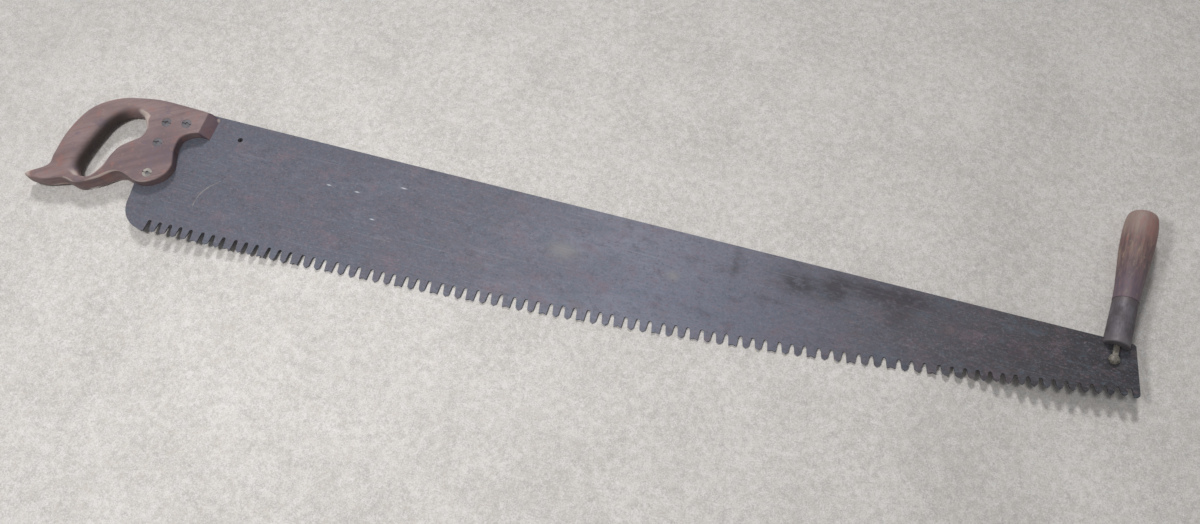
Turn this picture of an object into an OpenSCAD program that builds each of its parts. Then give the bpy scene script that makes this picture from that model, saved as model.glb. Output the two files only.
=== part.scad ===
// Crosscut saw with champion teeth, a closed wooden rear handle on the heel
// and a turned wooden toe handle, drawn down on the back of the blade, for a second person.
// Millimetres. X runs from heel to toe along the back, +Y points away from the teeth,
// +Z is square to the blade. The origin is the middle of the spare hole near the heel.

/* [Blade] */
// Overall length of the blade
blade_length = 1225; // [1000:5:1500]
// Thickness of the plate
blade_thickness = 2; // [1.6:0.1:2.8]
// Width at the heel, from the back to the tooth line
heel_width = 178; // [165:1:200]
// Width at the toe, from the back to the tooth line
toe_width = 62; // [52:1:90]
// Rise of the curved tooth line over its chord
tooth_crown = 23; // [10:1:32]
// Radius of the lower heel corner
heel_round = 37; // [25:1:38]
// How far the heel bulges back below the rear handle
heel_bulge = 4; // [0:0.5:6]
// Depth of that bulge below the back
heel_bulge_drop = 112; // [100:1:120]
// Radius of the two toe corners
toe_round = 4; // [3:0.5:5]
// How far the toe's upper corner is set back from its lower one
toe_setback = 9; // [0:1:14]
// How far the back runs on into the rear handle, behind the heel
tang_reach = 22; // [14:1:24]
// Depth below the back at which the tang meets the heel
tang_drop = 45; // [38:1:60]
// Radius of the tang's upper corner
tang_round = 10; // [6:1:11]
// Diameter of the two holes for the toe handle
hole_d = 6.5; // [6:0.1:7.5]
// Distance of both holes below the back
hole_drop = 25; // [21:0.5:30]
// Distance of the spare hole from the heel end
spare_hole_x = 103; // [90:1:140]
// Distance of the toe hole from the toe end
toe_hole_x = 32; // [22:1:40]

/* [Teeth] */
// Gullet to gullet over a cutter tooth
cutter_pitch = 14.3; // [13:0.1:17]
// Gullet to gullet over a raker tooth
raker_pitch = 16.3; // [14:0.1:19]
// Gullet to gullet over a cutter at the toe, where the teeth stand closer
toe_pitch = 13.75; // [13:0.05:16]
// Depth of a gullet from the tooth line, on the heel half
gullet_depth = 15.5; // [12:0.5:20]
// Depth of the last gullet at the toe, to which the front half of the teeth ease
toe_gullet = 10.5; // [9:0.5:16]
// Diameter of the round gullet root
gullet_root = 4.8; // [3.5:0.1:5.6]
// Width of a gullet at its mouth
gullet_mouth = 7.2; // [6:0.1:8]
// Height of a cutter's point above its shoulders
cutter_point = 2.8; // [1:0.1:5]
// Length of the face filed on a cutter, down from its tip
cutter_file = 6; // [3:0.5:8]
// Thickness left at a cutter's tip
cutter_edge = 0.4; // [0.2:0.1:0.8]
// How far a raker stands below the cutters
raker_drop = 0.8; // [0.2:0.1:2]
// Depth of the V filed into a raker
raker_notch = 1.6; // [1:0.1:6]
// Plain edge between the heel and the first gullet
heel_land = 43; // [42:1:60]
// Least plain edge between the last gullet and the toe
toe_land = 9; // [9:1:30]
// Cutters at the heel before the first raker
heel_cutters = 4; // [1:1:8]
// Cutters at the toe after the last group
toe_cutters = 13; // [1:1:16]

/* [Rear handle] */
// Thickness of the rear handle
handle_thickness = 27; // [24:0.5:32]
// Distance of the nose's foot from the heel end of the blade
nose_x = 64; // [60:1:76]
// Run of the bevel on the nose, from its foot to the cheek face
nose_bevel = 11.5; // [4:0.5:18]
// Rounding of the outer edges of the cheek
edge_round = 2.5; // [1:0.5:4]
// Rounding of the hand hole's edges along the cheek
hole_edge_round = 6; // [2:0.5:7]
// Gap between the kerf and the blade, on each side
kerf_gap = 0.05; // [0.02:0.01:0.15]

/* [Saw bolts] */
// Diameter of the bolt heads and of the nuts' heads
bolt_head_d = 12.7; // [11:0.1:15]
// Thickness of the bolt heads and of the nuts' heads
bolt_head_h = 3; // [2:0.1:4]
// Depth of the heads below the face of the wood
bolt_sink = 0.2; // [0.1:0.1:1]
// Diameter of the bolt shanks
bolt_shank_d = 4.8; // [4:0.1:5.6]
// Side of the square neck under each bolt head
bolt_neck = 6.4; // [6:0.1:8]
// Length of the square neck
bolt_neck_h = 4; // [3:0.5:6]
// Diameter of the nuts' barrels
nut_barrel_d = 8; // [7:0.1:9.5]
// Length of the nuts' barrels under their heads
nut_barrel_h = 7; // [4:0.5:7.5]
// Width of the driver slot across each nut
nut_slot = 1.4; // [1:0.1:2]
// Depth of the driver slot
nut_slot_depth = 1.3; // [0.6:0.1:1.6]
// Gap round bolts and nuts in their holes
bolt_gap = 0.1; // [0.05:0.01:0.2]

/* [Toe handle] */
// Lean of the toe handle towards the toe, in degrees
handle_lean = 5; // [0:0.5:6]
// Diameter of the ferrule at its mouth
ferrule_mouth_d = 29.6; // [28.6:0.2:36]
// Diameter of the ferrule where the wood begins
ferrule_top_d = 28.2; // [27:0.2:33]
// Length of the ferrule
ferrule_length = 58; // [45:1:75]
// Depth to which the slotted ferrule straddles the back
ferrule_straddle = 8; // [5:0.5:11]
// Thickness of the ferrule's solid end over the back
ferrule_floor = 8; // [5:0.5:12]
// Wall of the ferrule's cup
ferrule_wall = 2; // [1.5:0.1:3]
// Gap between the ferrule's slot and the blade, on each side
slot_gap = 0.2; // [0.1:0.05:0.4]
// Length of the wood that shows past the ferrule
grip_length = 118; // [90:1:140]
// Diameter of the grip at the ferrule
grip_neck_d = 29; // [28.4:0.2:34]
// Largest diameter of the grip
grip_swell_d = 38.5; // [34:0.5:42]
// Distance of the largest diameter from the grip's end
grip_swell_from_end = 30; // [24:1:45]
// Diameter of the flat on the grip's end
grip_end_d = 26; // [20:0.5:28]
// Gap between the turning grip and the ferrule
grip_gap = 0.3; // [0.2:0.05:0.5]

/* [Draw rod] */
// Diameter of the draw rod
rod_d = 6.35; // [5.5:0.05:7]
// Radial running clearance round the rod in the nut
rod_clearance = 0.05; // [0.02:0.01:0.1]
// Width of the two fork legs
fork_leg_w = 6; // [5:0.5:7]
// Thickness of the two fork legs
fork_leg_t = 3; // [2.5:0.1:3.5]
// Gap between each fork leg and the blade
fork_gap = 0.1; // [0.05:0.05:0.3]
// Diameter of the eyes at the ends of the fork
fork_eye_d = 12; // [10.5:0.5:15]
// Thickness of the round collar that joins the fork legs over the back
fork_collar = 5.5; // [4:0.5:6]
// Gap between the collar and the back
fork_reach = 2; // [1:0.5:4]
// Diameter of the screw through the fork
fork_screw_d = 6; // [5:0.1:6.2]
// Diameter of the domed screw head
fork_head_d = 11; // [9:0.5:13]
// Height of the domed screw head
fork_head_h = 3.6; // [2:0.1:4.5]
// Side of the square nut in the grip's end
nut_side = 12.7; // [11:0.1:14]
// Height of the square nut
nut_height = 6.5; // [5:0.5:9]
// Depth of the nut below the end of the grip
nut_sink = 2; // [1:0.5:5]
// Gap between the nut and its pocket in the wood
pocket_gap = 0.1; // [0.05:0.05:0.2]

/* [Hidden] */
$fn = 64;
// Overlap that keeps cuts clear of coplanar faces
cut = 1;
half_plate = blade_thickness / 2;
half_wood = handle_thickness / 2;

// Tooth line: a circle through heel and toe whose rise over the chord is tooth_crown
chord = norm([blade_length, heel_width - toe_width]);
chord_angle = atan2(heel_width - toe_width, blade_length);
crown_r = chord * chord / (8 * tooth_crown) + tooth_crown / 2;
crown_half_angle = asin(chord / 2 / crown_r);
crown_centre = [blade_length / 2, -(heel_width + toe_width) / 2]
    + (crown_r - tooth_crown) * [-sin(chord_angle), cos(chord_angle)];
first_angle = 270 + chord_angle - crown_half_angle;
tooth_line = crown_r * 2 * crown_half_angle * PI / 180;

// Gullets: heel cutters, then groups of one raker and two cutters, then toe cutters
group_pitch = raker_pitch + 2 * cutter_pitch;
plain_cutters = heel_cutters * cutter_pitch + toe_cutters * toe_pitch;
groups = floor((tooth_line - heel_land - toe_land - plain_cutters) / group_pitch);
teeth = heel_cutters + 3 * groups + toe_cutters;
root_steps = 6;
corner_steps = 12;

// Place of each saw bolt from the heel and the back, from the nose down to the lobe
bolt_places = [[31.3, -26.6], [4.8, -31.8], [7.3, -62.1], [14.4, -106]];

// Rear handle, one row per station round the hand hole: outer edge x, y, hole edge x, y,
// how far the section is rounded, 0 flat to 1 oval, and how far each face is thinned
stations = [
    [80, -7, -32, -29.5, 0.15, 0],
    [-0.5, -0.6, -38.5, -26.5, 0.2, 0],
    [-43.5, -3.2, -46.5, -25.5, 0.5, 0],
    [-80.5, -11.8, -59.5, -31, 0.9, 0],
    [-110.5, -35, -72.5, -47, 1, 0.5],
    [-123.5, -72.5, -79.5, -72.5, 1, 0.5],
    [-124.5, -108.5, -83.5, -102.5, 1, 0.5],
    [-124.5, -128.5, -83, -118.5, 0.8, 2],
    [-145.5, -147, -78.5, -127, 0.25, 4.5],
    [-120.5, -149.5, -71.5, -131, 0.15, 4.5],
    [-94.5, -139.8, -66, -130.5, 0.1, 4],
    [-72, -142, -61.5, -129.8, 0.1, 3],
    [-48.3, -129.6, -56.5, -122.3, 0.08, 2],
    [-25, -113.2, -50.2, -110.8, 0.05, 0.5],
    [8.5, -120.7, -46.3, -94, 0, 0],
    [31.3, -109.5, -41.5, -80.5, 0, 0],
    [40.2, -90, -31, -69.2, 0, 0],
    [32.6, -66, -20.3, -58.7, 0, 0],
    [33.3, -47, -18.5, -47.5, 0, 0],
    [50, -36, -23, -39, 0, 0],
    [80, -33, -27.5, -33.5, 0.05, 0]
];
span_steps = 5;
quarter_steps = 3;
// Rounding of the fullest sections, which leaves a narrow flat on each side
fullest = 0.9;
// Share of that rounding on the hand hole's side of the grip
inner_share = 0.9;
// Wood planed off each face, which leaves the cheek flat with a crisp arris
planed = 0.23;

// Toe handle, measured along its axis from the toe hole
back_level = hole_drop / cos(handle_lean);
ferrule_from = back_level - ferrule_straddle;
ferrule_to = ferrule_from + ferrule_length;
cup_from = back_level + ferrule_floor;
grip_to = ferrule_to + grip_gap + grip_length;
swell_at = grip_to - grip_swell_from_end;
nut_to = grip_to - nut_sink;
nut_from = nut_to - nut_height;
collar_from = back_level + fork_reach;
collar_to = collar_from + fork_collar;
collar_r = norm([fork_leg_w / 2, half_plate + fork_gap + fork_leg_t]) + grip_gap;
fork_bore_r = collar_r + grip_gap;

// Point at a length along the tooth line from the heel and a depth above the line
function tooth_point(along, depth) =
    let (angle = first_angle + along / crown_r * 180 / PI)
    crown_centre + (crown_r - depth) * [cos(angle), sin(angle)];

// Place along the tooth line of gullet i: each group passed adds its wider raker,
// and each cutter at the toe its own pitch
function gullet_at(i) =
    let (past = max(i - heel_cutters, 0), in_groups = min(past, 3 * groups))
    heel_land + i * cutter_pitch + ceil(in_groups / 3) * (raker_pitch - cutter_pitch)
        + (past - in_groups) * (toe_pitch - cutter_pitch);

function is_raker(i) =
    i >= heel_cutters && i < heel_cutters + 3 * groups && (i - heel_cutters) % 3 == 0;

// Depth of the shoulder of tooth i; the lands at both ends have none
function shoulder(i) = (i < 0 || i >= teeth) ? 0 : is_raker(i) ? raker_drop : cutter_point;

// Depth of a gullet at a place along the tooth line: full on the heel half, then easing to the toe
function depth_at(along) =
    gullet_depth + (toe_gullet - gullet_depth) * max(2 * along / tooth_line - 1, 0);

// U-shaped gullet i, from the shoulder of the tooth before it to that of the tooth after it
function gullet(i) =
    let (at = gullet_at(i), r = gullet_root / 2, depth = depth_at(at))
    concat(
        [tooth_point(at - gullet_mouth / 2, shoulder(i - 1))],
        [for (k = [0 : root_steps])
            let (a = 180 * k / root_steps)
            tooth_point(at - r * cos(a), depth - r + r * sin(a))],
        [tooth_point(at + gullet_mouth / 2, shoulder(i))]
    );

// Tip of tooth i: a cutter has one point, a raker two, with a V between them
function tip(i) =
    let (from = gullet_at(i) + gullet_mouth / 2, to = gullet_at(i + 1) - gullet_mouth / 2)
    let (middle = (from + to) / 2)
    is_raker(i)
        ? [tooth_point(middle, raker_drop + raker_notch)]
        : [tooth_point(middle, 0)];

// Corner arc of radius r about a centre, from angle a to angle b
function corner(centre, r, a, b) =
    [for (k = [0 : corner_steps])
        let (angle = a + (b - a) * k / corner_steps)
        centre + r * [cos(angle), sin(angle)]];

// Angle on the tooth line's circle under a corner of radius r whose centre is at x
function corner_angle(x, r) = 360 - acos((x - crown_centre[0]) / (crown_r - r));
function corner_centre(x, r) =
    let (angle = corner_angle(x, r))
    crown_centre + (crown_r - r) * [cos(angle), sin(angle)];

// Catmull-Rom point between rows p1 and p2 of a closed list
function smooth(p0, p1, p2, p3, t) =
    0.5 * (2 * p1 + (p2 - p0) * t + (2 * p0 - 5 * p1 + 4 * p2 - p3) * t * t
        + (3 * p1 - p0 - 3 * p2 + p3) * t * t * t);

function round_list(rows, steps) =
    let (n = len(rows))
    [for (i = [0 : n - 1], k = [0 : steps - 1])
        smooth(rows[(i + n - 1) % n], rows[i], rows[(i + 1) % n], rows[(i + 2) % n], k / steps)];

// Section of the rear handle at one station: a box with quarter ellipses for corners,
// from small edge roundings on the cheek to a full oval on the grip
function section(row) =
    let (outer = [row[0], row[1]], hole = [row[2], row[3]])
    let (oval = min(max(row[4], 0), fullest), half = half_wood + planed - max(row[5], 0))
    let (width = norm(outer - hole), way = (outer - hole) / width)
    let (outer_rx = edge_round + (width / 2 - edge_round) * oval)
    let (outer_rz = edge_round + (half - edge_round) * oval)
    let (inner = oval * inner_share)
    let (hole_rx = min(hole_edge_round + (width / 2 - hole_edge_round) * inner, width - outer_rx))
    let (hole_rz = hole_edge_round + (half - hole_edge_round) * inner)
    [for (quarter = [0 : 3], k = [0 : quarter_steps])
        let (a = 90 * (quarter + k / quarter_steps))
        let (out = quarter == 0 || quarter == 3, top = quarter < 2)
        let (rx = out ? outer_rx : hole_rx, rz = out ? outer_rz : hole_rz)
        let (along = (out ? width - rx : rx) + rx * cos(a))
        let (up = (top ? half - rz : rz - half) + rz * sin(a))
        [hole[0] + way[0] * along, hole[1] + way[1] * along, up]];

// Moves drawings measured from the heel and the back so that the spare hole is the origin
module from_heel() {
    translate([-spare_hole_x, hole_drop, 0]) children();
}

// Moves drawings measured along the toe handle from the toe hole
module along_toe_handle() {
    from_heel()
        translate([blade_length - toe_hole_x, -hole_drop, 0])
            rotate([0, 0, -handle_lean]) rotate([-90, 0, 0]) children();
}

module blade_outline() {
    heel = corner_centre(heel_round, heel_round);
    toe = corner_centre(blade_length - toe_round, toe_round);
    toe_top = [blade_length - toe_round - toe_setback, -toe_round];
    toe_tilt = atan2(toe[0] - toe_top[0], toe_top[1] - toe[1]);
    polygon(concat(
        corner([tang_round - tang_reach, -tang_round], tang_round, 90, 180),
        [[0, -tang_drop], [-heel_bulge, -heel_bulge_drop]],
        corner(heel, heel_round, 180, corner_angle(heel_round, heel_round)),
        [for (i = [0 : teeth]) each concat(gullet(i), i < teeth ? tip(i) : [])],
        corner(toe, toe_round, corner_angle(blade_length - toe_round, toe_round), 360 + toe_tilt),
        corner(toe_top, toe_round, toe_tilt, 90)
    ));
}

// Wedge that files the face of cutter i down to its edge; neighbours are filed on opposite faces
module cutter_filing(i) {
    along = (gullet_at(i) + gullet_at(i + 1)) / 2;
    foot = tooth_point(along, cutter_file);
    slope = atan2(blade_thickness - cutter_edge, cutter_file);
    turn = first_angle + along / crown_r * 180 / PI + 90;
    wide = max(cutter_pitch, toe_pitch);
    mirror([0, 0, i % 2]) translate([foot[0], foot[1], half_plate])
        rotate([0, 0, turn]) rotate([slope, 0, 0])
            translate([-wide / 2, -2 * cutter_file, 0])
                cube([wide, 2 * cutter_file, 2 * blade_thickness]);
}

module blade() {
    color("slategray") from_heel()
        difference() {
            translate([0, 0, -half_plate]) linear_extrude(blade_thickness) blade_outline();
            for (i = [0 : teeth - 1]) if (!is_raker(i)) cutter_filing(i);
            for (x = [spare_hole_x, blade_length - toe_hole_x])
                translate([x, -hole_drop, -half_plate - cut])
                    cylinder(d = hole_d, h = blade_thickness + 2 * cut);
            for (place = bolt_places)
                translate([place[0], place[1], -half_plate - cut])
                    cylinder(d = bolt_shank_d + 2 * bolt_gap, h = blade_thickness + 2 * cut);
        }
}

// Closed ring of sections round the hand hole
module handle_ring() {
    rows = round_list(stations, span_steps);
    sections = [for (row = rows) section(row)];
    n = len(sections);
    m = len(sections[0]);
    faces = [for (i = [0 : n - 1], k = [0 : m - 1])
        let (a = i * m + k, b = i * m + (k + 1) % m)
        let (c = ((i + 1) % n) * m + (k + 1) % m, d = ((i + 1) % n) * m + k)
        each [[a, b, c], [a, c, d]]];
    polyhedron([for (s = sections) each s], faces);
}

// Wedge that bevels the nose on the upper face
module nose_cut() {
    reach = half_wood + cut;
    run = nose_bevel * (reach - half_plate) / (half_wood - half_plate);
    translate([nose_x, 0, 0]) rotate([90, 0, 0])
        translate([0, 0, -handle_thickness])
            linear_extrude(4 * handle_thickness)
                polygon([[0, 0], [0, half_plate], [-run, reach], [handle_thickness, reach],
                    [handle_thickness, 0]]);
}

module rear_handle() {
    head_r = bolt_head_d / 2 + bolt_gap;
    seat = half_wood - bolt_sink - bolt_head_h;
    kerf = blade_thickness + 2 * kerf_gap;
    color("saddlebrown") from_heel()
        difference() {
            intersection() {
                handle_ring();
                cube([2 * blade_length, 2 * blade_length, handle_thickness], center = true);
            }
            nose_cut();
            mirror([0, 0, 1]) nose_cut();
            translate([-kerf_gap, 0, -kerf / 2]) linear_extrude(kerf) polygon([
                [-tang_reach, handle_thickness], [-tang_reach, -tang_round], [0, -tang_drop],
                [-heel_bulge, -heel_bulge_drop], [-heel_bulge, -heel_width],
                [blade_length, -heel_width], [blade_length, handle_thickness]
            ]);
            for (place = bolt_places) translate([place[0], place[1], 0]) {
                translate([0, 0, seat]) cylinder(r = head_r, h = half_wood);
                translate([0, 0, -seat - half_wood]) cylinder(r = head_r, h = half_wood);
                translate([0, 0, seat - nut_barrel_h - bolt_gap])
                    cylinder(d = nut_barrel_d + 2 * bolt_gap, h = half_wood);
                neck = bolt_neck + 2 * bolt_gap;
                translate([-neck / 2, -neck / 2, -half_wood])
                    cube([neck, neck, half_wood - seat + bolt_neck_h + bolt_gap]);
                translate([0, 0, -half_wood])
                    cylinder(d = bolt_shank_d + 2 * bolt_gap, h = handle_thickness);
            }
        }
}

// Bolt from below: round head, square neck in the wood, shank up into the nut
module saw_bolt(i) {
    seat = half_wood - bolt_sink - bolt_head_h;
    color("dimgray") from_heel() translate([bolt_places[i][0], bolt_places[i][1], 0]) {
        translate([0, 0, -seat - bolt_head_h]) cylinder(d = bolt_head_d, h = bolt_head_h);
        translate([-bolt_neck / 2, -bolt_neck / 2, -seat - cut])
            cube([bolt_neck, bolt_neck, bolt_neck_h + cut]);
        translate([0, 0, -seat - cut])
            cylinder(d = bolt_shank_d, h = 2 * seat + bolt_head_h - nut_slot_depth + cut);
    }
}

// Split nut from above: slotted head flush with the wood, barrel round the shank
module saw_nut(i) {
    seat = half_wood - bolt_sink - bolt_head_h;
    top = seat + bolt_head_h;
    color("gray") from_heel() translate([bolt_places[i][0], bolt_places[i][1], 0])
        difference() {
            union() {
                translate([0, 0, seat]) cylinder(d = bolt_head_d, h = bolt_head_h);
                translate([0, 0, seat - nut_barrel_h]) cylinder(d = nut_barrel_d, h = nut_barrel_h + cut);
            }
            translate([0, 0, seat - nut_barrel_h - cut])
                cylinder(d = bolt_shank_d + 2 * bolt_gap, h = nut_barrel_h + bolt_head_h + 2 * cut);
            translate([-bolt_head_d, -nut_slot / 2, top - nut_slot_depth])
                cube([2 * bolt_head_d, nut_slot, bolt_head_h]);
        }
}

// Outline of a fork leg, with its eye round the toe hole
module fork_leg() {
    difference() {
        union() {
            circle(d = fork_eye_d);
            rotate(-handle_lean) translate([-fork_leg_w / 2, 0])
                square([fork_leg_w, (collar_from + collar_to) / 2]);
        }
        circle(d = fork_screw_d + 2 * bolt_gap);
    }
}

// Forged rod: two flat legs astride the blade, a round collar over the back, a shank to the nut
module draw_rod() {
    face = half_plate + fork_gap;
    color("tan") {
        from_heel() translate([blade_length - toe_hole_x, -hole_drop, 0])
            for (low = [face, -face - fork_leg_t])
                translate([0, 0, low]) linear_extrude(fork_leg_t) fork_leg();
        along_toe_handle() {
            translate([0, 0, collar_from]) cylinder(r = collar_r, h = fork_collar);
            translate([0, 0, collar_to - cut]) cylinder(d = rod_d, h = nut_to - collar_to + cut);
        }
    }
}

// Screw through both eyes and the toe hole, with a domed head on the upper leg
module fork_screw() {
    face = half_plate + fork_gap + fork_leg_t;
    dome_r = (fork_head_d * fork_head_d / 4 + fork_head_h * fork_head_h) / (2 * fork_head_h);
    color("tan") from_heel() translate([blade_length - toe_hole_x, -hole_drop, 0]) {
        translate([0, 0, -face]) cylinder(d = fork_screw_d, h = 2 * face + fork_head_h / 2);
        translate([0, 0, face]) intersection() {
            translate([0, 0, fork_head_h - dome_r]) sphere(r = dome_r);
            cylinder(d = 2 * fork_head_d, h = 2 * fork_head_h);
        }
    }
}

// Turned ferrule: open cup for the wood above, solid end slotted to straddle the back below
module toe_ferrule() {
    mouth_r = ferrule_mouth_d / 2;
    top_r = ferrule_top_d / 2;
    cup_r = top_r - ferrule_wall;
    slot = blade_thickness + 2 * slot_gap;
    lip = ferrule_wall / 2;
    color("lightslategray") difference() {
        along_toe_handle() rotate_extrude() polygon([
            [fork_bore_r, ferrule_from], [mouth_r - lip, ferrule_from],
            [mouth_r, ferrule_from + lip], [top_r, ferrule_to], [cup_r, ferrule_to],
            [cup_r, cup_from], [fork_bore_r, cup_from]
        ]);
        from_heel() translate([0, -heel_width, -slot / 2])
            cube([2 * blade_length, heel_width, slot]);
    }
}

// Turned wooden grip: tenon in the ferrule's cup, shoulder, swell and eased end
module toe_grip() {
    bore_r = rod_d / 2 + grip_gap;
    tenon_r = ferrule_top_d / 2 - ferrule_wall - grip_gap;
    neck_r = grip_neck_d / 2;
    swell_r = grip_swell_d / 2;
    end_r = grip_end_d / 2;
    shoulder_at = ferrule_to + grip_gap;
    end_drop = swell_r - end_r;
    belly_steps = 10;
    end_steps = 8;
    pocket = nut_side + 2 * pocket_gap;
    // Side of the grip: a raised cosine from neck to swell, then an eased fall to the end
    side = [for (k = [0 : belly_steps])
        let (t = k / belly_steps)
        [neck_r + (swell_r - neck_r) * (1 - cos(180 * t)) / 2, shoulder_at + (swell_at - shoulder_at) * t]];
    nose = [for (k = [1 : end_steps])
        let (a = 90 * k / end_steps)
        [end_r + end_drop * pow(cos(a), 0.6), swell_at + grip_swell_from_end * sin(a)]];
    color("sienna") along_toe_handle() difference() {
        rotate_extrude() polygon(concat(
            [[bore_r, cup_from], [tenon_r, cup_from], [tenon_r, shoulder_at]],
            side, nose, [[bore_r, grip_to]]
        ));
        translate([-pocket / 2, -pocket / 2, nut_from]) cube([pocket, pocket, nut_height + nut_sink + cut]);
    }
}

module grip_nut() {
    color("dimgray") along_toe_handle() difference() {
        translate([-nut_side / 2, -nut_side / 2, nut_from]) cube([nut_side, nut_side, nut_height]);
        translate([0, 0, nut_from - cut])
            cylinder(r = rod_d / 2 + rod_clearance, h = nut_height + 2 * cut);
    }
}

blade();
rear_handle();
for (i = [0 : 3]) saw_bolt(i);
for (i = [0 : 3]) saw_nut(i);
draw_rod();
fork_screw();
toe_ferrule();
toe_grip();
grip_nut();
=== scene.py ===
import math

import bmesh
import bpy
import numpy as np
from mathutils import Matrix, Vector


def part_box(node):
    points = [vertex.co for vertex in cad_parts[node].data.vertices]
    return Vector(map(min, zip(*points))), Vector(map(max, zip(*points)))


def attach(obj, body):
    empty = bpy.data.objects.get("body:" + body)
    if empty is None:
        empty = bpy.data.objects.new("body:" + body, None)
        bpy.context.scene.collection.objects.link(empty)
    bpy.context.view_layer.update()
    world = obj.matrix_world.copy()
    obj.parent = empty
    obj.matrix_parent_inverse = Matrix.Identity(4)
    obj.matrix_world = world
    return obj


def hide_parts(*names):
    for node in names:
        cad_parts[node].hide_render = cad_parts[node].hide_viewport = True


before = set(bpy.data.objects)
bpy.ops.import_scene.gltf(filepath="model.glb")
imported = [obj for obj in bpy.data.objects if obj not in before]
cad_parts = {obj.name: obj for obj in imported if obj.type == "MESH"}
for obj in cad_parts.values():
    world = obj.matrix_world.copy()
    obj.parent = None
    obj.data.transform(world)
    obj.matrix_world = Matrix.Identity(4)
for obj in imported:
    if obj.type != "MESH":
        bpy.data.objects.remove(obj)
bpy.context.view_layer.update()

# Blade: a flat plate of saw steel whose crowned edge is filed into cutters and rakers.
# Age has left a blue-grey patina with fine scratches along its length, a few stains and one
# long curved scratch near the heel. Along the length the colour is painted brighter across the
# middle as a painted sheen, and darker and browner towards the toe as painted shade.


class Wire:
    """One socket of a shader: arithmetic on wires adds the Math nodes that work it out."""

    def __init__(self, tree, socket=None):
        self.tree = tree
        self.socket = socket

    def node(self, kind, settings=None, values=None, out=0):
        """Adds a node, sets it up, fills or links its sockets and returns one output."""
        made = self.tree.nodes.new("ShaderNode" + kind)
        settings = dict(settings or {})
        for k, (position, colour) in enumerate(settings.pop("stops", [])):
            stops = made.color_ramp.elements
            stop = stops[k] if k < 2 else stops.new(position)
            stop.position, stop.color = position, colour
        for name, value in settings.items():
            setattr(made, name, value)
        for key, value in (values or {}).items():
            if isinstance(value, Wire):
                self.tree.links.new(value.socket, made.inputs[key])
            else:
                made.inputs[key].default_value = value
        return Wire(self.tree, made.outputs[out])

    def math(self, operation, *values):
        """A Math node on these values."""
        return self.node("Math", {"operation": operation}, dict(enumerate(values)))

    def __add__(self, other):
        return self.math("ADD", self, other)

    def __sub__(self, other):
        return self.math("SUBTRACT", self, other)

    def __rsub__(self, other):
        return self.math("SUBTRACT", other, self)

    def __mul__(self, other):
        return self.math("MULTIPLY", self, other)

    def __truediv__(self, other):
        return self.math("DIVIDE", self, other)

    def __pow__(self, other):
        return self.math("POWER", self, other)

    __radd__ = __add__
    __rmul__ = __mul__

    def step(self, low, high):
        """0 at low, 1 at high, smooth between; high below low turns it round."""
        values = {"Value": self, "From Min": low, "From Max": high}
        return self.node("MapRange", {"interpolation_type": "SMOOTHSTEP"}, values)

    def between(self, first, second):
        """Colour that goes from the first to the second as this value goes from 0 to 1."""
        colours = {0: self, 6: first, 7: second}
        return self.node("Mix", {"data_type": "RGBA"}, colours, out=2)

    def noise(self, scale, detail=3.0, rough=0.5):
        """Noise of about 0 to 1 on this vector, which is stretched by three scales first."""
        stretched = self.node("Mapping", {}, {"Vector": self, "Scale": scale})
        values = {"Vector": stretched, "Scale": 1.0, "Detail": detail, "Roughness": rough}
        return self.node("TexNoise", {}, values)

    def turned(self, degrees, centre=(0, 0, 0)):
        """This vector measured from a centre and turned about Z."""
        moved = self.node("VectorMath", {"operation": "SUBTRACT"}, {0: self, 1: centre})
        values = {"Vector": moved, "Rotation": (0, 0, math.radians(degrees))}
        return self.node("Mapping", {}, values)

    def axes(self):
        """The three numbers of this vector."""
        parts = self.tree.nodes.new("ShaderNodeSeparateXYZ")
        self.tree.links.new(self.socket, parts.inputs[0])
        return [Wire(self.tree, parts.outputs[k]) for k in range(3)]


def finish(name, constants):
    """New material: its shader with constant values set, and a wire of Object coordinates."""
    material = bpy.data.materials.new(name)
    material.use_nodes = True
    shader = material.node_tree.nodes["Principled BSDF"]
    for key, value in constants.items():
        shader.inputs[key].default_value = value
    place = Wire(material.node_tree).node("TexCoord", out="Object")
    return material, shader, place


def feed(shader, wire, key):
    """Links a wire to one of the shader's sockets."""
    wire.tree.links.new(wire.socket, shader.inputs[key])


def emboss(shader, height, distance, strength=1.0):
    """Lets a height from 0 to 1 show as relief of a distance in metres."""
    values = {"Strength": strength, "Distance": distance, "Height": height}
    feed(shader, height.node("Bump", {}, values), "Normal")


def coat(node, material):
    """Gives a CAD node its material."""
    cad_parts[node].material_slots[0].material = material


def blot(x, y, cx, cy, rx, ry):
    """Soft oval spot: e to the minus squared distance, in radii, from its middle."""
    across, down = (x - cx) / rx, (y - cy) / ry
    return x.math("EXPONENT", -1 * (across * across + down * down))


# Painted sheen and shade: the tones along the blade rise to a bright middle and fall to near
# black at the toe.
sheen_and_shade_tones = [
    (0.0, (0.112, 0.115, 0.146, 1)), (0.26, (0.106, 0.108, 0.140, 1)),
    (0.40, (0.130, 0.132, 0.166, 1)), (0.54, (0.194, 0.198, 0.247, 1)),
    (0.68, (0.142, 0.142, 0.178, 1)), (0.80, (0.096, 0.089, 0.106, 1)),
    (0.90, (0.062, 0.056, 0.061, 1)), (1.0, (0.020, 0.019, 0.021, 1))]
dull_steel, clear_steel = (0.060, 0.060, 0.072, 1), (0.300, 0.305, 0.350, 1)
blue_bloom, oily_grime = (0.128, 0.142, 0.205, 1), (0.062, 0.060, 0.074, 1)
violet_tint, slate_tint = (0.170, 0.122, 0.146, 1), (0.100, 0.124, 0.158, 1)
pit_rim, pit_bottom = (0.225, 0.225, 0.250, 1), (0.040, 0.038, 0.047, 1)
rust_brown, stain_black = (0.135, 0.102, 0.094, 1), (0.044, 0.040, 0.048, 1)
dried_oil, scratch_grey = (0.255, 0.245, 0.220, 1), (0.360, 0.365, 0.400, 1)
bare_steel, scratch_tan = (0.620, 0.625, 0.650, 1), (0.360, 0.325, 0.280, 1)
tone_wander, behind_hole, tone_run = 0.20, 0.12, 1.25
tint_grains = ((22, 0.52), (150, 0.58))
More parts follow.
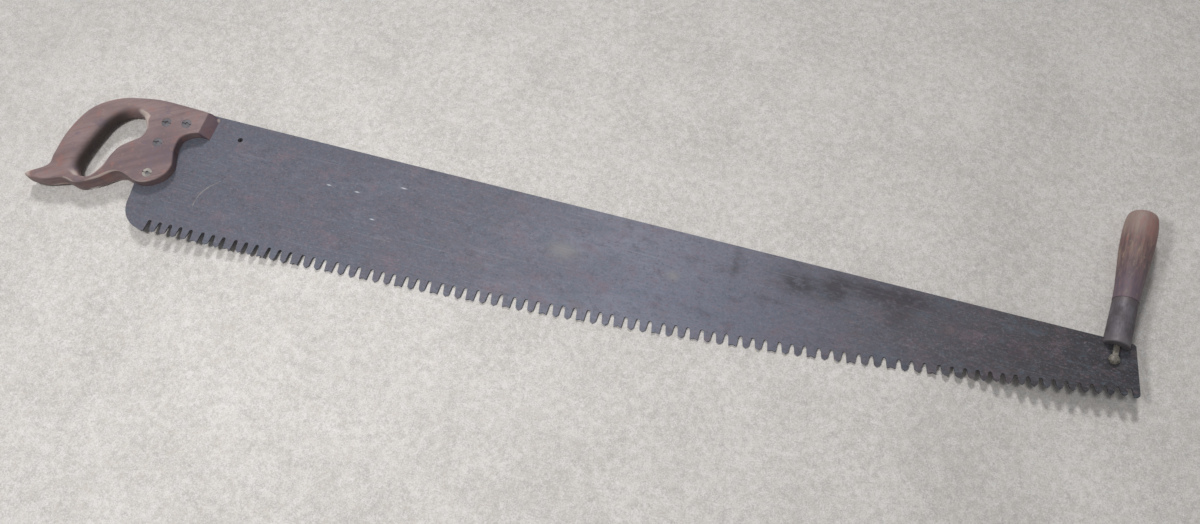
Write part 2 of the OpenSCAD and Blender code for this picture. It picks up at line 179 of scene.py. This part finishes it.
bloom_spot, stain_line = (0.60, -0.06, 0.16, 0.05), (0.657, 0.000, 0.005, 0.020)
oil_smear, oil_drop = (0.452, -0.037, 0.018, 0.010), (0.5885, -0.034, 0.008, 0.006)
stain_spots = (
    (0.733, -0.004, 0.026, 0.015, 0.9), (0.776, 0.001, 0.014, 0.017, 1.0),
    (0.816, 0.009, 0.030, 0.011, 0.8), (0.862, 0.011, 0.030, 0.010, 0.8),
    (0.851, -0.011, 0.018, 0.016, 0.6), (0.705, -0.033, 0.022, 0.004, 0.4),
    (0.987, -0.020, 0.013, 0.012, 0.6))
long_nick, nick_size = (0.2329, -0.0093, 0.0034, 0.0007), (0.0026, 0.0007)
nick_places = ((0.2103, -0.0608), (0.1388, -0.0302), (0.1773, -0.0300))
arc_x, arc_y, arc_r = 0.0224, -0.099, 0.0404

patina_and_painted_light, shader, place = finish("blade_patina_and_painted_light", {"Metallic": 0.3, "Specular IOR Level": 0.35})
x, y = place.axes()[:2]
cloud = place.noise((7, 18, 16), 6.0, 0.6)
mottle = place.noise((60, 130, 60), 4.0, 0.6)
drawn = place.noise((12, 1100, 300), 2.0).step(0.58, 0.78)
scuffs = place.turned(24).noise((9, 700, 300), 2.0).step(0.66, 0.80)
ticks = place.turned(12).noise((60, 1300, 300), 2.0).step(0.69, 0.78)
# Painted sheen and shade: the place along the blade picks the tone.
length = (x + (cloud - 0.5) * tone_wander + behind_hole) / tone_run
steel = length.node("ValToRGB", {"stops": sheen_and_shade_tones}, {"Fac": length})
dapple = (cloud * 0.55 + mottle * 0.45).step(0.34, 0.66)
steel = ((1 - dapple) * 0.28).between(steel, dull_steel)
steel = (dapple.step(0.7, 1.0) * 0.10).between(steel, clear_steel)
steel = (blot(x, y, *bloom_spot) * 0.35).between(steel, blue_bloom)
grime = place.noise((34, 62, 34), 6.0, 0.72)
steel = (grime.step(0.52, 0.66) * 0.40).between(steel, oily_grime)
for grains, strength in tint_grains:
    tint = place.noise((grains, grains * 1.6, grains), 5.0, 0.65)
    steel = (tint.step(0.52, 0.70) * strength).between(steel, violet_tint)
    steel = (tint.step(0.48, 0.30) * strength).between(steel, slate_tint)
pits = place.noise((340, 430, 340), 4.0, 0.8)
steel = (pits.step(0.53, 0.72) * 0.60).between(steel, pit_rim)
steel = (pits.step(0.47, 0.28) * 0.66).between(steel, pit_bottom)
rust = place.noise((24, 44, 40), 5.0, 0.65).step(0.55, 0.70) * x.step(-0.1, 0.7)
steel = (rust * 0.35).between(steel, rust_brown)
stains = blot(x, y, *stain_line) * 0.5
for cx, cy, rx, ry, dark in stain_spots:
    stains = stains + blot(x, y, cx, cy, rx, ry) * dark
ragged = place.noise((80, 120, 80), 6.0, 0.7)
stains = x.math("MINIMUM", stains * ragged.step(0.28, 0.56) * 1.3, 1.0)
steel = (stains * 0.8).between(steel, stain_black)
smear = blot(x, y, *oil_smear) + blot(x, y, *oil_drop)
steel = (smear * 0.45).between(steel, dried_oil)
steel = ((drawn + scuffs * 0.6 + ticks) * 0.16).between(steel, scratch_grey)
nicks = blot(x, y, *long_nick)
for cx, cy in nick_places:
    nicks = nicks + blot(x, y, cx, cy, *nick_size)
steel = (nicks * 0.8).between(steel, bare_steel)
away = ((x - arc_x) ** 2 + (y - arc_y) ** 2) ** 0.5
arc = x.math("ABSOLUTE", away - arc_r).step(0.0011, 0.0002)
arc = arc * x.step(0.002, -0.004) * y.step(-0.108, -0.100) * mottle.step(0.30, 0.62)
steel = (arc * 0.55).between(steel, scratch_tan)
feed(shader, steel, "Base Color")
feed(shader, 0.52 + cloud * 0.16 - drawn * 0.08, "Roughness")
emboss(shader, mottle * 0.6 + drawn * 0.4, 0.00012, 0.5)
coat("blade", patina_and_painted_light)

# Rear handle: one piece of close-grained wood, sawn and rasped to a closed grip with a horn,
# a flat cheek and a bevelled nose. A kerf takes the blade, and four bores take the saw bolts.
# The old brown varnish is worn pale along the edges. Painted shade darkens the lower wall of the
# hand hole on the grip side and the nose bevel, a painted highlight lightens the crown above the
# hand hole, and the top edge towards the nose is darker.
stations = np.array([
    [80, -7, -32, -29.5, 0.15, 0], [-0.5, -0.6, -38.5, -26.5, 0.2, 0],
    [-43.5, -3.2, -46.5, -25.5, 0.5, 0], [-80.5, -11.8, -59.5, -31, 0.9, 0],
    [-110.5, -35, -72.5, -47, 1, 0.5], [-123.5, -72.5, -79.5, -72.5, 1, 0.5],
    [-124.5, -108.5, -83.5, -102.5, 1, 0.5], [-124.5, -128.5, -83, -118.5, 0.8, 2],
    [-145.5, -147, -78.5, -127, 0.25, 4.5], [-120.5, -149.5, -71.5, -131, 0.15, 4.5],
    [-94.5, -139.8, -66, -130.5, 0.1, 4], [-72, -142, -61.5, -129.8, 0.1, 3],
    [-48.3, -129.6, -56.5, -122.3, 0.08, 2], [-25, -113.2, -50.2, -110.8, 0.05, 0.5],
    [8.5, -120.7, -46.3, -94, 0, 0], [31.3, -109.5, -41.5, -80.5, 0, 0],
    [40.2, -90, -31, -69.2, 0, 0], [32.6, -66, -20.3, -58.7, 0, 0],
    [33.3, -47, -18.5, -47.5, 0, 0], [50, -36, -23, -39, 0, 0],
    [80, -33, -27.5, -33.5, 0.05, 0]])
bolt_places = np.array([[31.3, -26.6], [4.8, -31.8], [7.3, -62.1], [14.4, -106]])
half_wood, half_plate, planed, fullest, inner_share = 13.5, 1.0, 0.23, 0.9, 0.9
edge_round, hole_edge_round = 2.5, 6.0
nose_x, nose_bevel, nose_low, nose_top = 64.0, 11.5, -90, 30
kerf_gap, tang_reach, tang_round, tang_drop = 0.05, 22, 10, 45
heel_bulge, heel_bulge_drop, heel_width = 4, 112, 178
barrel_r, head_r, head_seat = 4.7, 6.45, 10.3
past_edge, past_face, past_nose, bore_sides = 27, 20, 200, 48
spare_hole = np.array([103.0, -25.0, 0.0])
flat_shares = np.array([0.03, 0.12, 0.3, 0.5, 0.7, 0.88, 0.97])
hole_shade_from, hole_shade_run = 0.42, 0.32


def round_rows(rows, steps):
    """Closed Catmull-Rom curve through the rows: each span is the cubic of its four rows."""
    p0, p1, p2, p3 = (np.roll(rows, k, axis=0)[:, None] for k in (1, 0, -1, -2))
    t = (np.arange(steps) / steps)[None, :, None]
    curve = 2 * p1 + (p2 - p0) * t + (2 * p0 - 5 * p1 + 4 * p2 - p3) * t ** 2
    curve = curve + (3 * p1 - p0 - 3 * p2 + p3) * t ** 3
    return (0.5 * curve).reshape(-1, rows.shape[1])


def handle_grid(rows, steps):
    """Sections round the hand hole: a box with quarter ellipses for corners, from small edge
    roundings on the cheek to a full oval on the grip, planed flat at the faces. Returns the
    points, how sharp an arris each one is on and how far down the hole's wall it lies, which
    later sets the painted shade there."""
    outer, hole, oval = rows[:, 0:2], rows[:, 2:4], np.clip(rows[:, 4], 0, fullest)[:, None]
    half = (half_wood + planed - np.maximum(rows[:, 5], 0))[:, None]
    width = np.linalg.norm(outer - hole, axis=1)[:, None]
    way = (outer - hole) / width
    outer_rx = edge_round + (width / 2 - edge_round) * oval
    outer_rz = edge_round + (half - edge_round) * oval
    inner = oval * inner_share
    hole_rx = hole_edge_round + (width / 2 - hole_edge_round) * inner
    hole_rx = np.minimum(hole_rx, width - outer_rx)
    hole_rz = hole_edge_round + (half - hole_edge_round) * inner
    quarter = np.arange(steps + 1) / steps * math.pi / 2
    arcs = []
    for k in range(4):
        rx, rz = (outer_rx, outer_rz) if k in (0, 3) else (hole_rx, hole_rz)
        along = (width - rx if k in (0, 3) else rx) + rx * np.cos(quarter + k * math.pi / 2)
        up = (half - rz if k < 2 else rz - half) + rz * np.sin(quarter + k * math.pi / 2)
        arris = np.sin(2 * quarter) ** 0.7 * np.clip(1.15 - oval, 0, 1)
        # Painted shade: low on the hole's wall, on the grip side, a mark for a near-black colour.
        hole_shade = np.clip(hole_shade_from - along / rx, 0, hole_shade_run) / hole_shade_run
        hole_shade = hole_shade * np.clip(oval * 1.6 - 0.5, 0, 1) if k in (1, 2) else 0 * along
        arcs.append(np.stack([along, up, arris, hole_shade], -1))
    loop = []
    for k in range(4):
        first, last = arcs[k][:, -1:], arcs[(k + 1) % 4][:, :1]
        loop += [arcs[k], first + (last - first) * flat_shares[None, :, None]]
    loop = np.concatenate(loop, axis=1)
    flat = hole[:, None] + way[:, None] * loop[:, :, 0:1]
    up = np.clip(loop[:, :, 1:2], -half_wood, half_wood)
    return np.concatenate([flat, up], axis=-1), loop[:, :, 2], loop[:, :, 3]


def ring_quads(rows, columns):
    """Quads of a grid that closes on itself both ways, wound to face outwards."""
    i, j = np.meshgrid(np.arange(rows), np.arange(columns), indexing="ij")
    a, b = i * columns + j, i * columns + (j + 1) % columns
    c, d = (i + 1) % rows * columns + (j + 1) % columns, (i + 1) % rows * columns + j
    return np.stack([a, d, c, b], axis=-1).reshape(-1, 4)


def new_piece(name, points, faces):
    """Object of its own from points in metres and faces."""
    mesh = bpy.data.meshes.new(name)
    mesh.from_pydata(points.tolist(), [], [list(face) for face in faces])
    piece = bpy.data.objects.new(name, mesh)
    bpy.context.scene.collection.objects.link(piece)
    return piece


def from_heel(points):
    """Millimetres from the heel and the back to metres from the spare hole."""
    return (points - spare_hole) / 1000


def prism(outline, low, high, axes=(0, 1, 2)):
    """Outline carried from low to high along its third axis, as points and faces."""
    n = len(outline)
    points = np.zeros((2 * n, 3))
    points[:, axes[0]] = np.tile(outline[:, 0], 2)
    points[:, axes[1]] = np.tile(outline[:, 1], 2)
    points[:, axes[2]] = np.repeat([low, high], n)
    k = np.arange(n)
    sides = np.stack([k, (k + 1) % n, (k + 1) % n + n, k + n], axis=-1)
    return points, sides.tolist() + [k[::-1].tolist(), (k + n).tolist()]


def carve(piece, points, faces):
    """Takes a solid's space out of a piece."""
    cutter = new_piece("cutter", points, faces)
    shell = bmesh.new()
    shell.from_mesh(cutter.data)
    bmesh.ops.recalc_face_normals(shell, faces=shell.faces)
    shell.to_mesh(cutter.data)
    shell.free()
    change = piece.modifiers.new("carve", "BOOLEAN")
    change.operation, change.solver, change.object = "DIFFERENCE", "MANIFOLD", cutter
    graph = bpy.context.evaluated_depsgraph_get()
    carved = bpy.data.meshes.new_from_object(piece.evaluated_get(graph), depsgraph=graph)
    piece.modifiers.clear()
    piece.data = carved
    bpy.data.objects.remove(cutter)


def smooth_to(piece, degrees):
    """Smooth shading, broken at edges sharper than an angle."""
    piece.data.polygons.foreach_set("use_smooth", np.ones(len(piece.data.polygons), bool))
    piece.data.set_sharp_from_angle(angle=math.radians(degrees))


rows = round_rows(stations, steps=14)
grid, arris, hole_shade = handle_grid(rows, steps=7)
quads = ring_quads(*grid.shape[:2])
handle = new_piece("rear_handle_wood", from_heel(grid.reshape(-1, 3)), quads)
for name, values in (("arris", arris), ("hole_shade", hole_shade)):
    mark = handle.data.attributes.new(name, "FLOAT", "POINT")
    mark.data.foreach_set("value", values.ravel().astype(np.float32))
reach = half_wood + 1
run = nose_bevel * (reach - half_plate) / (half_wood - half_plate)
nose = np.array([[-run, reach], [0, half_plate], [0, -half_plate], [-run, -reach],
                 [past_edge, -reach], [past_edge, reach]])
points, faces = prism(nose + [nose_x, 0], nose_low, nose_top, axes=(0, 2, 1))
carve(handle, from_heel(points), faces)
kerf = np.array([
    [-tang_reach, past_edge], [-tang_reach, -tang_round], [0, -tang_drop],
    [-heel_bulge, -heel_bulge_drop], [-heel_bulge, -heel_width],
    [past_nose, -heel_width], [past_nose, past_edge]]) - [kerf_gap, 0]
points, faces = prism(kerf, -half_plate - kerf_gap, half_plate + kerf_gap)
carve(handle, from_heel(points), faces)
turn = np.arange(bore_sides) / bore_sides * 2 * math.pi
circle = np.stack([np.cos(turn), np.sin(turn)], axis=-1)
bores = ((barrel_r, -past_face, past_face), (head_r, head_seat, past_face),
         (head_r, -past_face, -head_seat))
for bolt_place in bolt_places:
    for radius, low, high in bores:
        points, faces = prism(bolt_place + radius * circle, low, high)
        carve(handle, from_heel(points), faces)
smooth_to(handle, degrees=32)

dark_wood, light_wood = (0.160, 0.104, 0.103, 1), (0.265, 0.186, 0.182, 1)
pale_figure, hand_grime = (0.300, 0.215, 0.205, 1), (0.130, 0.094, 0.112, 1)
red_patch, purple_patch = (0.275, 0.135, 0.120, 1), (0.150, 0.115, 0.150, 1)
orange_fleck, dark_pore = (0.380, 0.240, 0.150, 1), (0.072, 0.046, 0.044, 1)
painted_crown_light, bevel_shade_top_dark = (0.360, 0.275, 0.260, 1), (0.085, 0.058, 0.086, 1)
bare_wood, hole_shade_black = (0.520, 0.430, 0.385, 1), (0.020, 0.016, 0.014, 1)
varnish, shader, place = finish("worn_varnished_wood", {"IOR": 1.45, "Specular IOR Level": 0.4})
x, y = place.axes()[:2]
along = place.turned(-32)
grain = along.noise((16, 260, 190), 5.0, 0.6)
figure = along.noise((7, 40, 40), 3.0)
pores = along.noise((70, 1500, 1200), 2.0).step(0.62, 0.74)
blotch = place.noise((38, 38, 38), 4.0, 0.6)
wood = (grain * 0.4 + figure * 0.6).step(0.34, 0.66)
brown = wood.between(dark_wood, light_wood)
brown = (blotch.step(0.52, 0.72) * 0.5).between(brown, pale_figure)
grimy = blot(x, y, -0.094, -0.045, 0.035, 0.045) + blotch.step(0.46, 0.30) * 0.6
brown = (grimy * 0.6).between(brown, hand_grime)
hue = place.noise((60, 60, 60), 4.0, 0.65)
brown = (hue.step(0.54, 0.68) * 0.58).between(brown, red_patch)
brown = (hue.step(0.46, 0.33) * 0.58).between(brown, purple_patch)
freckles = place.noise((210, 210, 210), 3.0, 0.6).step(0.60, 0.74)
brown = (freckles * 0.40).between(brown, orange_fleck)
brown = (pores * 0.45).between(brown, dark_pore)
# Painted highlight: the crown above the hand hole is lightened.
brown = (blot(x, y, -0.165, 0.004, 0.050, 0.022) * 0.25).between(brown, painted_crown_light)
# Painted shade darkens the nose bevel; the top edge towards the nose is made darker as well.
on_bevel, on_top = x.step(-0.052, -0.049), y.step(0.017, 0.0225) * x.step(-0.15, -0.12)
brown = (on_bevel * 0.55 + on_top * 0.3).between(brown, bevel_shade_top_dark)
edge = place.node("Attribute", {"attribute_name": "arris"}, out="Fac")
under_lobe = blot(x, y, -0.128, -0.097, 0.044, 0.020)
under_hole = blot(x, y, -0.194, -0.1165, 0.016, 0.012)
hole_corner = blot(x, y, -0.129, -0.006, 0.015, 0.012)
nose_tip = blot(x, y, -0.0385, 0.0195, 0.0035, 0.0035)
horn_tip = blot(x, y, -0.246, -0.121, 0.010, 0.007)
rubbed = 0.4 + under_lobe * 0.9 + under_hole * 1.1 + hole_corner
worn = edge * (0.3 + blotch) * rubbed + hole_corner * blotch * 0.45
worn = worn + horn_tip * (0.3 + blotch * 0.6) + nose_tip
bare = worn.step(0.30, 0.70)
brown = (bare * 0.75).between(brown, bare_wood)
# Painted shade: the lower wall of the hand hole on the grip side is turned near black.
hole_shade_mask = place.node("Attribute", {"attribute_name": "hole_shade"}, out="Fac")
brown = (hole_shade_mask * x.step(-0.146, -0.172) * 0.9).between(brown, hole_shade_black)
feed(shader, brown, "Base Color")
feed(shader, 0.52 + grain * 0.12 + bare * 0.12, "Roughness")
emboss(shader, grain * 0.5 - pores * 0.5 + blotch * 0.3, 0.0003, 0.6)
handle.data.materials.clear()
handle.data.materials.append(varnish)
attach(handle, "saw")
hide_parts("rear_handle")

# Saw bolts and nuts: four steel bolts come up through wood and blade into slotted split nuts
# that lie flush with the cheek. They are dull and dark, but the lowest nut is a paler one.


def metal(name, dark, light, metallic):
    """Old turned metal: two tones by a fine and a coarse noise, with a little relief."""
    material, shader, place = finish(name, {"Metallic": metallic})
    coarse = place.noise((120, 120, 120), 4.0, 0.6)
    fine = place.noise((900, 900, 900), 3.0, 0.6)
    tone = (coarse * 0.65 + fine * 0.35).step(0.34, 0.66)
    feed(shader, tone.between(dark, light), "Base Color")
    feed(shader, 0.50 + coarse * 0.25, "Roughness")
    emboss(shader, fine * 0.5 + coarse * 0.5, 0.0002, 0.5)
    return material


steel_tones = (0.095, 0.090, 0.098, 1), (0.170, 0.162, 0.176, 1)
brass_tones = (0.185, 0.170, 0.160, 1), (0.390, 0.355, 0.320, 1)
bolt_steel = metal("dull_bolt_steel", *steel_tones, 0.35)
pale_brass = metal("pale_worn_brass", *brass_tones, 0.35)
for k in range(1, 5):
    coat("saw_bolt_%d" % k, bolt_steel)
    coat("saw_nut_%d" % k, pale_brass if k == 4 else bolt_steel)

# Draw rod, fork screw and grip nut: a forged rod whose forked end straddles the blade, held by
# a domed screw through the toe hole. Its upper end runs through the grip into a square nut.
rod_tones = (0.085, 0.076, 0.064, 1), (0.330, 0.305, 0.265, 1)
rod_steel = metal("worn_rod_steel", *rod_tones, 0.5)
for node in ("draw_rod", "fork_screw", "grip_nut"):
    coat(node, rod_steel)

# Toe ferrule: a turned iron cup over the foot of the grip, slotted at its mouth to sit astride
# the back of the blade. The dull grey iron is rubbed brighter in places.
lean_degrees = 5
toe_hole = np.array([1090.0, 0.0, 0.0])
toe_centre = tuple(toe_hole / 1000)
dark_iron, grey_iron = (0.066, 0.056, 0.064, 1), (0.136, 0.123, 0.140, 1)
bright_mouth, brown_rim = (0.175, 0.160, 0.165, 1), (0.125, 0.098, 0.100, 1)
iron, shader, place = finish("dull_ferrule_iron", {"Metallic": 0.3})
patch = place.noise((70, 45, 70), 5.0, 0.6)
fine = place.noise((700, 160, 700), 3.0, 0.6)
rubbed = (patch * 0.7 + fine * 0.3).step(0.38, 0.68)
grey = rubbed.between(dark_iron, grey_iron)
up_cup = place.turned(lean_degrees, toe_centre).axes()[1]
grey = (up_cup.step(0.034, 0.017) * 0.45).between(grey, bright_mouth)
grey = (up_cup.step(0.064, 0.0755) * patch).between(grey, brown_rim)
feed(shader, grey, "Base Color")
feed(shader, 0.62 - rubbed * 0.15, "Roughness")
emboss(shader, patch * 0.6 + fine * 0.4, 0.0003, 0.6)
coat("toe_ferrule", iron)

# Toe grip: a turned wooden handle whose tenon sits in the ferrule. The wood swells to the hand
# and is eased at its end, where the rod's square nut is let in. Its red-brown varnish is worn
# through in streaks.
lean = math.radians(lean_degrees)
grip_axis = np.array([math.sin(lean), math.cos(lean), 0.0])
grip_side = np.array([math.cos(lean), -math.sin(lean), 0.0])
upwards = np.array([0.0, 0.0, 1.0])
cup_from, shoulder_at, swell_at, grip_to = 33.0955, 75.3955, 163.3955, 193.3955
bore_r, tenon_r, neck_r, swell_r, end_r = 3.475, 11.8, 14.5, 19.25, 13.0
pocket, nut_from = 12.9, 184.8955


def grip_profile():
    """Radius and length along the axis: bore, tenon, a raised cosine from neck to swell, then
    an eased fall to the flat end."""
    t = np.linspace(0, 1, 60)
    belly = np.stack([neck_r + (swell_r - neck_r) * (1 - np.cos(math.pi * t)) / 2,
                      shoulder_at + (swell_at - shoulder_at) * t], axis=-1)
    a = np.linspace(0, math.pi / 2, 40)[1:]
    fall = np.stack([end_r + (swell_r - end_r) * np.maximum(np.cos(a), 0) ** 0.6,
                     swell_at + (grip_to - swell_at) * np.sin(a)], axis=-1)
    foot = [[bore_r, cup_from], [tenon_r, cup_from], [tenon_r, shoulder_at]]
    return np.concatenate([foot, belly, fall, [[bore_r, grip_to]]])


def spun(profile, around):
    """Profile carried round the toe handle's axis as a closed grid."""
    t = np.arange(around) / around * 2 * math.pi
    spoke = np.cos(t)[:, None, None] * grip_side + np.sin(t)[:, None, None] * upwards
    return toe_hole + profile[None, :, :1] * spoke + profile[None, :, 1:] * grip_axis


grid = spun(grip_profile(), around=96)
grip = new_piece("toe_grip_wood", grid.reshape(-1, 3) / 1000, ring_quads(*grid.shape[:2]))
square = np.array([[-1, -1], [1, -1], [1, 1], [-1, 1]]) * pocket / 2
points, faces = prism(square, nut_from, grip_to + 1, axes=(0, 2, 1))
points = toe_hole + points @ np.array([grip_side, grip_axis, upwards])
carve(grip, points / 1000, faces)
smooth_to(grip, degrees=35)

dark_red, light_red = (0.105, 0.066, 0.068, 1), (0.205, 0.132, 0.128, 1)
worn_streak, dark_streak = (0.290, 0.215, 0.165, 1), (0.085, 0.070, 0.082, 1)
red_fleck, bare_spot = (0.285, 0.120, 0.100, 1), (0.350, 0.275, 0.185, 1)
purple_foot, pale_end = (0.105, 0.085, 0.125, 1), (0.330, 0.245, 0.215, 1)
raw_red = (0.280, 0.105, 0.090, 1)
red_varnish, shader, place = finish("worn_red_varnish", {"IOR": 1.45})
along = place.turned(lean_degrees, toe_centre)
side, up_grip = along.axes()[:2]
grain = along.noise((330, 22, 330), 4.0, 0.6)
streak = along.noise((150, 13, 150), 4.0, 0.6)
flecks = along.noise((420, 110, 420), 3.0, 0.6)
spots = along.noise((240, 90, 240), 4.0, 0.65)
wood = (grain * 0.6 + flecks * 0.4).step(0.34, 0.66)
red = wood.between(dark_red, light_red)
red = (streak.step(0.50, 0.70) * 0.55).between(red, worn_streak)
red = (flecks.step(0.58, 0.70) * 0.75).between(red, red_fleck)
red = (streak.step(0.42, 0.30) * 0.6).between(red, dark_streak)
red = (spots.step(0.55, 0.68) * 0.55).between(red, bare_spot)
red = (up_grip.step(0.135, 0.085) * 0.55).between(red, purple_foot)
red = (up_grip.step(0.145, 0.176) * 0.60).between(red, pale_end)
raw = up_grip.step(0.120, 0.180) * spots.step(0.48, 0.34) * 0.4
raw = raw + blot(side, up_grip, 0.010, 0.170, 0.010, 0.018) * 0.5
red = raw.between(red, raw_red)
feed(shader, red, "Base Color")
feed(shader, 0.46 + streak * 0.2, "Roughness")
emboss(shader, grain * 0.5 + streak * 0.5, 0.0004, 0.6)
grip.data.materials.clear()
grip.data.materials.append(red_varnish)
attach(grip, "grip")
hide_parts("toe_grip")

# Floor: the plain pale ground that the saw lies on. It touches the rear handle's flat face and
# the belly of the toe grip, and is a little crowned to come close under the straight blade,
# where a real blade sags to the ground.
handle_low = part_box("rear_handle")[0]
grip_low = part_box("toe_grip")[0]
belly_x, clearance, crown_level = 1.102, 0.0002, -0.0013


def ease(value, low, high):
    """0 at low, 1 at high, smooth between."""
    t = np.clip((value - low) / (high - low), 0, 1)
    return t * t * (3 - 2 * t)


def ground(x, y):
    """Height of the floor: a line from the rear handle to the grip's belly, with a low crown
    under the blade."""
    share = (x - handle_low.x) / (belly_x - handle_low.x)
    level = handle_low.z + share * (grip_low.z - handle_low.z) - clearance
    lengthwise = ease(x, -0.045, 0.20) * ease(-x, -1.07, -0.86)
    crosswise = ease(y, -0.8, -0.2) * ease(-y, -0.7, -0.06)
    return level + (crown_level - level) * lengthwise * crosswise


lines_x = np.concatenate([[-6, -2], np.linspace(-0.6, 1.6, 177), [3, 7]])
lines_y = np.concatenate([[-6, -2], np.linspace(-1, 0.9, 96), [2, 6]])
x, y = np.meshgrid(lines_x, lines_y, indexing="ij")
row = len(lines_y)
i, j = np.meshgrid(np.arange(len(lines_x) - 1), np.arange(row - 1), indexing="ij")
first = (i * row + j).ravel()
quads = np.stack([first, first + row, first + row + 1, first + 1], axis=-1)
floor = new_piece("floor", np.stack([x, y, ground(x, y)], axis=-1).reshape(-1, 3), quads)
smooth_to(floor, degrees=60)

dark_sand, light_sand = (0.460, 0.440, 0.420, 1), (0.740, 0.715, 0.695, 1)
tan_sand = (0.620, 0.560, 0.480, 1)
concrete, shader, place = finish("pale_concrete", {"Roughness": 0.9, "Specular IOR Level": 0.2})
gravel = place.noise((110, 110, 110), 6.0, 0.85)
grit = place.noise((600, 600, 600), 3.0, 0.7)
clouds = place.noise((8, 8, 8), 6.0, 0.65)
sand = (gravel * 0.45 + grit * 0.40 + clouds * 0.15).step(0.385, 0.615)
pale = sand.between(dark_sand, light_sand)
tan = place.noise((90, 90, 90), 4.0, 0.7).step(0.40, 0.62)
pale = (tan * 0.25).between(pale, tan_sand)
feed(shader, pale, "Base Color")
floor.data.materials.append(concrete)

# Light and camera: a far window behind the saw on the left, a soft lamp over its heel on the near
# side and an even pale room, and a camera that looks down on the saw from the photograph's place.
to_window, to_soft_box = Vector((-0.27, 0.69, 0.67)), Vector((-0.6, -0.3, 1.2))
lamp = bpy.data.lights.new("far_window", "SUN")
lamp.energy = 1.5
lamp.angle = 0.16
window = bpy.data.objects.new("far_window", lamp)
window.rotation_euler = to_window.to_track_quat("Z", "Y").to_euler()
bpy.context.scene.collection.objects.link(window)
lamp = bpy.data.lights.new("soft_box", "AREA")
lamp.shape, lamp.size = "DISK", 0.3
lamp.energy = 9.0
soft_box = bpy.data.objects.new("soft_box", lamp)
soft_box.location = (-0.05, -0.34, 1.2)
soft_box.rotation_euler = to_soft_box.to_track_quat("Z", "Y").to_euler()
bpy.context.scene.collection.objects.link(soft_box)

room_light, room_seen = 0.27, 0.38
room = bpy.data.worlds.new("pale_room")
room.use_nodes = True
bpy.context.scene.world = room
sky = room.node_tree.nodes["Background"]
sky.inputs["Color"].default_value = (0.97, 0.98, 1.0, 1)
seen = Wire(room.node_tree)
direct = seen.node("LightPath", out="Is Camera Ray") + seen.node("LightPath", out="Is Glossy Ray")
direct = direct + seen.node("LightPath", out="Is Transmission Ray")
feed(sky, room_light + direct * room_seen, "Strength")

camera_place = (0.69839, -0.51118, 1.11373)
azimuth, elevation, roll = (math.radians(a) for a in (22.8843, 65.3171, -6.5783))
backwards = np.array([math.sin(azimuth) * math.cos(elevation),
                      -math.cos(azimuth) * math.cos(elevation), math.sin(elevation)])
level_right = np.array([math.cos(azimuth), math.sin(azimuth), 0.0])
level_up = np.cross(backwards, level_right)
right = math.cos(roll) * level_right + math.sin(roll) * level_up
up = -math.sin(roll) * level_right + math.cos(roll) * level_up
lens = bpy.data.cameras.new("camera")
lens.sensor_fit = "HORIZONTAL"
lens.sensor_width = 36.0
lens.lens = 30.6047
lens.clip_start = 0.01
camera = bpy.data.objects.new("camera", lens)
columns = zip(right, up, backwards, camera_place)
camera.matrix_world = Matrix([list(row) for row in columns] + [[0, 0, 0, 1]])
bpy.context.scene.collection.objects.link(camera)
bpy.context.scene.camera = camera
bpy.context.scene.view_settings.view_transform = "Standard"
